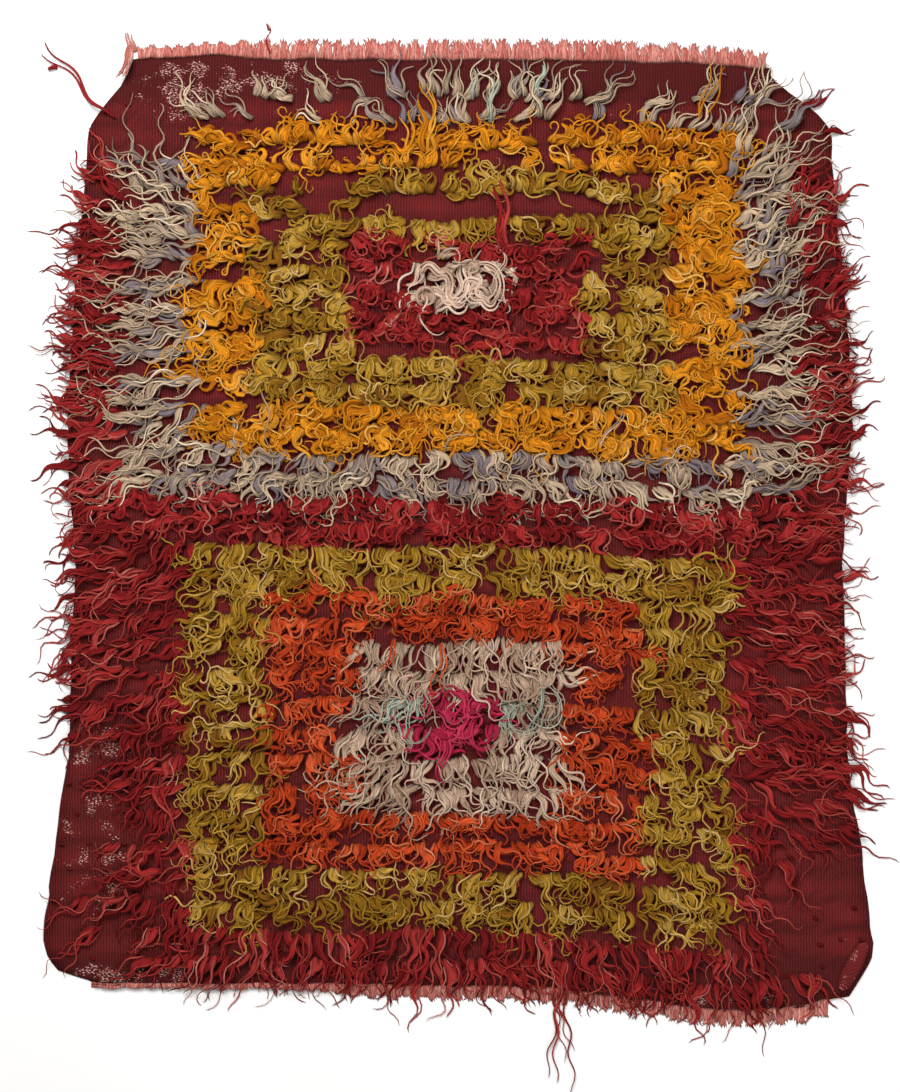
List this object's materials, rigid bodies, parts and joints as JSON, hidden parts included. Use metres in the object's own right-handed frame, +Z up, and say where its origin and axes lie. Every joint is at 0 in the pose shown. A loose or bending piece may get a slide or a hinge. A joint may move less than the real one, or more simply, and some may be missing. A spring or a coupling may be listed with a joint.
{
  "type": "long-pile wool rug",
  "caption": "Hand-woven floor rug: rows of long knotted wool locks on a dark red ground weave, in panels of nested rectangles, with loose locks over the sides and short warp fringe at the ends.",
  "frame": {"origin": "on the floor under the middle of the rug's reach, loose locks and fringe included", "axes": "+X across the rug along the knot rows, +Y along the warp towards the end that was woven last, +Z up out of the pile"},
  "size_m": [1.2, 1.5, 0.03],
  "materials": {
    "ground_weave": "flat weave of dark maroon wool over paler warps, worn at the edges",
    "pile_red": "matt hand-spun wool locks, dyed dark red",
    "pile_gold": "matt hand-spun wool locks, dyed gold",
    "pile_olive": "matt hand-spun wool locks, dyed olive yellow",
    "pile_grey": "matt undyed wool locks, grey beige with a lilac tint",
    "pile_orange": "matt hand-spun wool locks, dyed brick orange",
    "pile_magenta": "matt hand-spun wool locks, dyed magenta pink",
    "pile_ivory": "matt undyed ivory wool locks",
    "pile_aqua": "matt hand-spun wool locks, faded pale aqua",
    "warp_yarn": "matt warp yarn stained salmon pink, cut and fluffy"
  },
  "bodies": {
    "root": {"pile_rug": "pile_red", "warp_fringe_top": "warp_yarn", "warp_fringe_bottom_left": "warp_yarn", "warp_fringe_bottom_middle": "warp_yarn", "warp_fringe_bottom_right": "warp_yarn"}
  },
  "joints": []
}
